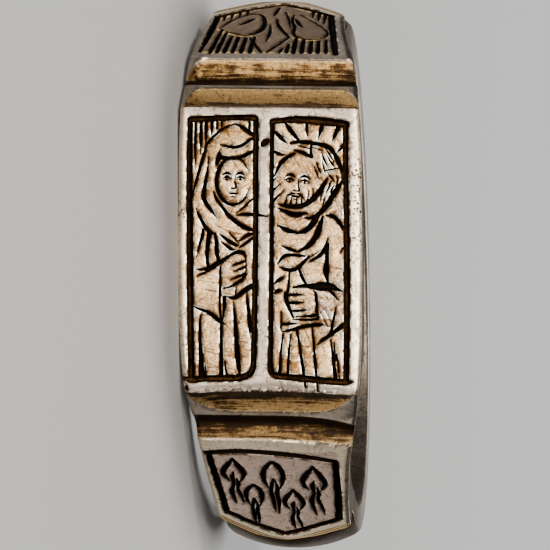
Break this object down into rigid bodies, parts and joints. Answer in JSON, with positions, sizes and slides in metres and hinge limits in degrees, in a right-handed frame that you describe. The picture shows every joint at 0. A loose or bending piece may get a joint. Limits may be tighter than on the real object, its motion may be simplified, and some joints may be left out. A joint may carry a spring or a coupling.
{
  "type": "iconographic finger ring",
  "caption": "One-piece silver-gilt finger ring with an oblong bezel engraved with two saints, fluted shoulders and engraved shields.",
  "frame": {"origin": "on the axis of the finger bore, midway between the two side faces of the hoop and bezel", "axes": "+Z along the finger bore, which stands upright as the ring lies on its side; -Y out of the middle of the bezel; -X towards the shoulder with the hatched shield, +X towards the shoulder with the flames"},
  "size_m": [0.0228, 0.0224, 0.0078],
  "materials": {
    "silver_gilt": "worn silver with gilding left in the sunk parts"
  },
  "bodies": {
    "root": {"ring": "silver_gilt"}
  },
  "joints": []
}
